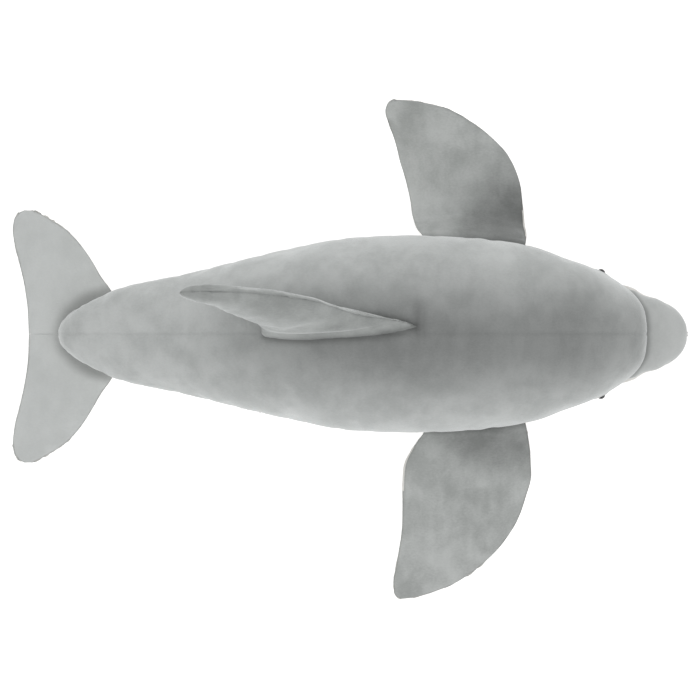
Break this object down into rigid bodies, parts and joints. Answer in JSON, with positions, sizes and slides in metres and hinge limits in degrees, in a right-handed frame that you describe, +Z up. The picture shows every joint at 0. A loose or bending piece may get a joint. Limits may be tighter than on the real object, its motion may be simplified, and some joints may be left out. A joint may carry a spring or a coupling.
{
  "type": "plush dolphin",
  "caption": "Large stuffed plush dolphin lying on its belly: grey back, white underside, glossy eyes, and soft fins and tail that bend at their seams.",
  "frame": {"origin": "on the belly's flat resting patch, on the middle plane, halfway along the toy's length", "axes": "+X towards the beak, +Y to the dolphin's left, +Z up"},
  "size_m": [0.9995, 0.7416, 0.3458],
  "materials": {
    "grey_plush": "short-pile velboa plush, mid grey, nap brushed in patches",
    "white_plush": "short-pile velboa plush, off-white",
    "fibre_fill": "loose polyester fibre filling",
    "eye_black": "polished black moulded eye with shank",
    "washer_white": "natural white moulded push-on washer",
    "grey_thread": "grey sewing thread and rolled seam cloth",
    "label_cloth": "blank woven ribbon"
  },
  "bodies": {
    "trunk": {"back_panel_left": "grey_plush", "back_panel_right": "grey_plush", "belly_panel": "white_plush", "trunk_stuffing": "fibre_fill", "beak_upper_panel": "grey_plush", "beak_lower_panel": "white_plush", "beak_stuffing": "fibre_fill", "eye_left": "eye_black", "eye_right": "eye_black", "eye_washer_left": "washer_white", "eye_washer_right": "washer_white", "pectoral_root_seam_left": "grey_thread", "pectoral_root_seam_right": "grey_thread", "dorsal_root_seam": "grey_thread", "closing_stitches": "grey_thread"},
    "tail": {"tail_panel_left": "grey_plush", "tail_panel_right": "grey_plush", "tail_belly_panel": "white_plush", "tail_stuffing": "fibre_fill", "fluke_centre_top": "grey_plush", "fluke_centre_underside": "white_plush", "fluke_centre_stuffing": "fibre_fill", "care_label": "label_cloth"},
    "fluke_lobe_left": {"fluke_lobe_left_top": "grey_plush", "fluke_lobe_left_underside": "white_plush", "fluke_lobe_left_stuffing": "fibre_fill"},
    "fluke_lobe_right": {"fluke_lobe_right_top": "grey_plush", "fluke_lobe_right_underside": "white_plush", "fluke_lobe_right_stuffing": "fibre_fill"},
    "pectoral_left": {"pectoral_top_left": "grey_plush", "pectoral_underside_left": "white_plush", "pectoral_stuffing_left": "fibre_fill"},
    "pectoral_right": {"pectoral_top_right": "grey_plush", "pectoral_underside_right": "white_plush", "pectoral_stuffing_right": "fibre_fill"},
    "dorsal": {"dorsal_panel_left": "grey_plush", "dorsal_panel_right": "grey_plush", "dorsal_stuffing": "fibre_fill"}
  },
  "joints": [
    {"name": "tail_bend", "type": "hinge", "parent": "trunk", "child": "tail", "pos_m": [-0.285, 0, 0.118], "axis": [0, 1, 0], "range_deg": [-3, 12], "stiffness_Nm_per_rad": 4},
    {"name": "fluke_left_flap", "type": "hinge", "parent": "tail", "child": "fluke_lobe_left", "pos_m": [-0.42, 0.062, 0.024], "axis": [1, 0, 0], "range_deg": [-5, 20], "stiffness_Nm_per_rad": 0.5},
    {"name": "fluke_right_flap", "type": "hinge", "parent": "tail", "child": "fluke_lobe_right", "pos_m": [-0.42, -0.062, 0.024], "axis": [-1, 0, 0], "range_deg": [-5, 20], "stiffness_Nm_per_rad": 0.5},
    {"name": "pectoral_left_flap", "type": "hinge", "parent": "trunk", "child": "pectoral_left", "pos_m": [0.188, 0.139, 0.072], "axis": [0.9968, -0.0797, 0], "range_deg": [-4, 60]},
    {"name": "pectoral_right_flap", "type": "hinge", "parent": "trunk", "child": "pectoral_right", "pos_m": [0.188, -0.139, 0.072], "axis": [-0.9968, -0.0797, 0], "range_deg": [-20, 50]},
    {"name": "dorsal_lean", "type": "hinge", "parent": "trunk", "child": "dorsal", "pos_m": [-0.0175, 0.0085, 0.23434], "axis": [0.9865, 0.0664, 0.1497], "range_deg": [-20, 35], "stiffness_Nm_per_rad": 1.2}
  ]
}
